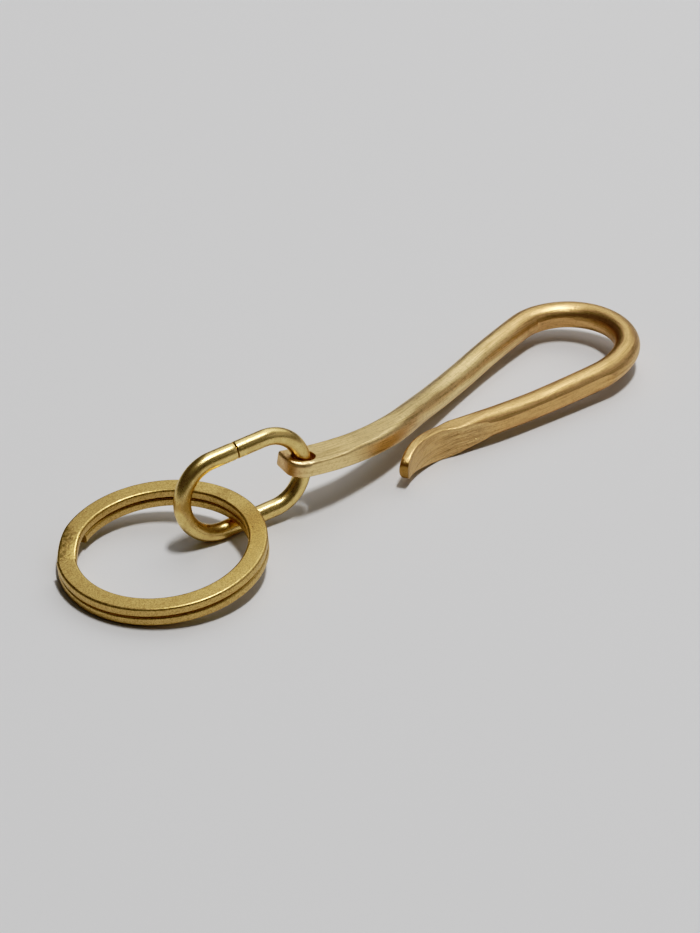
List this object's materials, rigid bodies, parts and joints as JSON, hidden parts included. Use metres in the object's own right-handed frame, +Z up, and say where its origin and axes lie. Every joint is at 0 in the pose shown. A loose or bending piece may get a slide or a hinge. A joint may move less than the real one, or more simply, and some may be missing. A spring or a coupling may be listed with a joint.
{
  "type": "key hook with split ring",
  "caption": "Forged brass key hook with a flattened eye at one end and a curved claw at the other, carrying a split key ring on an oval wire link.",
  "frame": {"origin": "centre of the bounding box at its base, where the pieces rest on the table", "axes": "+X runs along the pieces from the split ring to the hook's bend, +Y lies level across them, towards the shank's side, and +Z is up"},
  "size_m": [0.1022, 0.0322, 0.0138],
  "materials": {
    "hook_brass": "forged, filed and hand-brushed brass",
    "wire_brass": "drawn wire, tumbled to a satin shine",
    "ring_brass": "flat drawn wire with a fine matte grain"
  },
  "bodies": {
    "hook": {"hook": "hook_brass"},
    "link": {"oval_link": "wire_brass"},
    "ring": {"split_ring": "ring_brass"}
  },
  "joints": [
    {"name": "link_swing", "type": "hinge", "parent": "hook", "child": "link", "pos_m": [-0.01884, -0.00099, 0.00727], "axis": [-0.1046, -0.9877, 0.1161], "range_deg": [-80, 69]},
    {"name": "ring_turn", "type": "hinge", "parent": "link", "child": "ring", "pos_m": [-0.03708, -0.00211, 0.00287], "axis": [-0.1079, -0.0117, 0.9941], "continuous": true}
  ]
}
